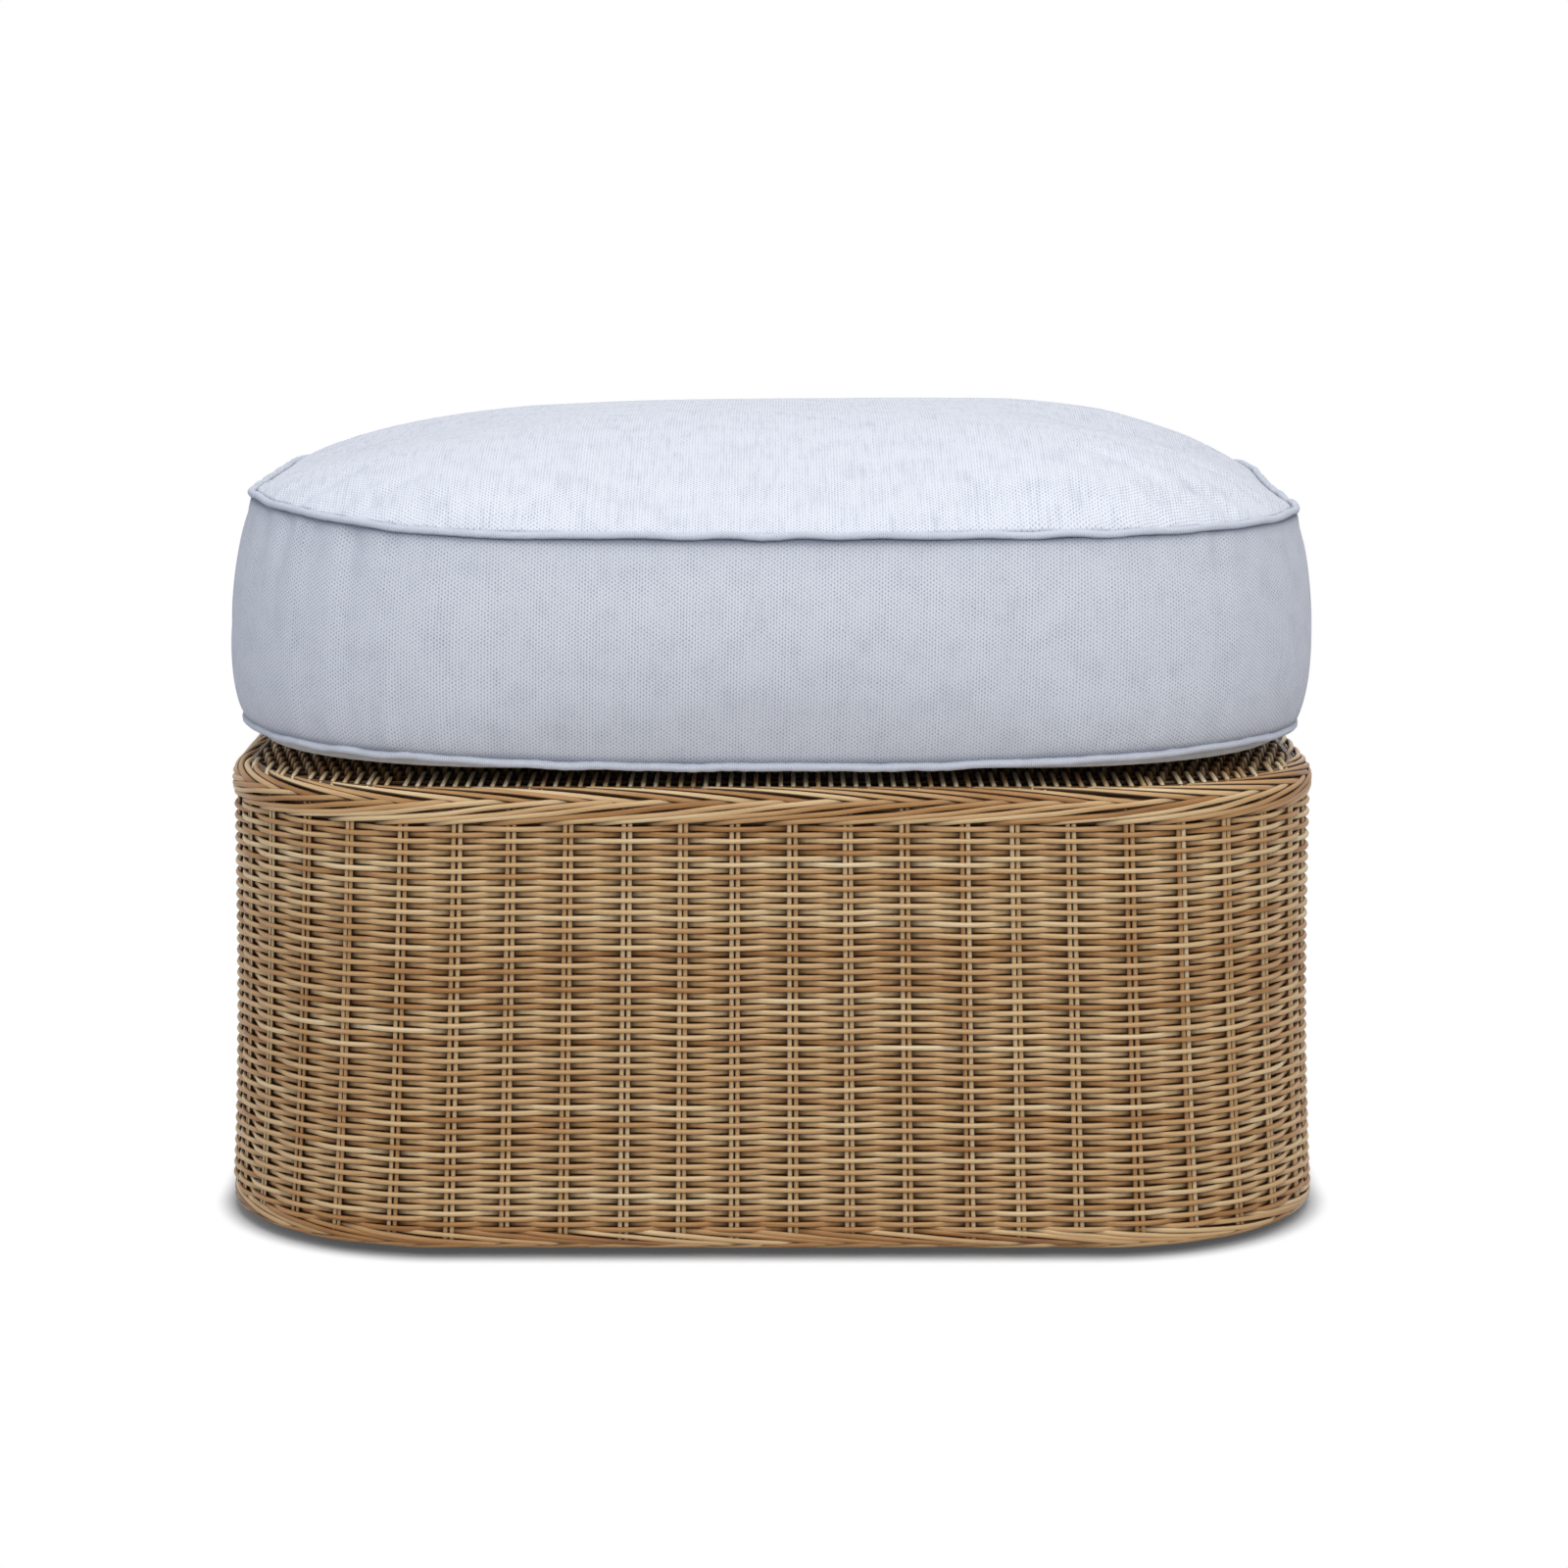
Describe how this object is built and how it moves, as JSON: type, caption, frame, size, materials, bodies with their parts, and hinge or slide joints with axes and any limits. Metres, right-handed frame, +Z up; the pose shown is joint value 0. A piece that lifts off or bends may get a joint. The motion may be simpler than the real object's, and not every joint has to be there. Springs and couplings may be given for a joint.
{
  "type": "outdoor ottoman footstool",
  "caption": "Rounded-rectangle woven resin ottoman on an aluminium tube frame, with a loose box cushion edged in piping and a zip at the back.",
  "frame": {"origin": "on the floor under the middle of the base", "axes": "+X along the long side, to the right seen from the front; +Y from front to back; +Z up"},
  "size_m": [0.7414, 0.5964, 0.5363],
  "materials": {
    "wicker": "round resin reed in mixed straw, honey and brown tones",
    "frame": "brown powder-coated aluminium tube",
    "glide": "moulded nylon",
    "foam": "open-cell seat foam",
    "fibre": "polyester fibre layer",
    "cover": "light blue-grey dotted basket weave",
    "piping": "self piping in the cover cloth",
    "zip_tape": "woven tape with a nylon coil",
    "zip_metal": "grey lacquered die casting"
  },
  "bodies": {
    "base": {"woven_skirt": "wicker", "top_border": "wicker", "bottom_border": "wicker", "seat_deck": "wicker", "top_rail": "frame", "bottom_rail": "frame", "post_front_left": "frame", "post_front_right": "frame", "post_back_left": "frame", "post_back_right": "frame", "post_front": "frame", "post_back": "frame", "post_left": "frame", "post_right": "frame", "deck_bar_1": "frame", "deck_bar_2": "frame", "deck_bar_3": "frame", "glide_front_left": "glide", "glide_front_right": "glide", "glide_back_left": "glide", "glide_back_right": "glide"},
    "cushion": {"foam_core": "foam", "upper_fibre_layer": "fibre", "lower_fibre_layer": "fibre", "cover_top_panel": "cover", "cover_bottom_panel": "cover", "boxing_band": "cover", "zip_band_lower": "cover", "zip_band_upper": "cover", "zip_chain": "zip_tape", "top_welt": "piping", "bottom_welt": "piping"},
    "slider": {"zip_slider": "zip_metal"},
    "pull": {"zip_pull": "zip_metal"}
  },
  "joints": [
    {"name": "cushion_lift", "type": "slide", "parent": "base", "child": "cushion", "axis": [0, 0, 1], "range_m": [0, 0.25]},
    {"name": "slider_travel", "type": "slide", "parent": "cushion", "child": "slider", "axis": [1, 0, 0], "range_m": [0, 0.317]},
    {"name": "pull_hinge", "type": "hinge", "parent": "slider", "child": "pull", "pos_m": [-0.1587, 0.2936, 0.3953], "axis": [0, 0, 1], "range_deg": [0, 170]}
  ]
}
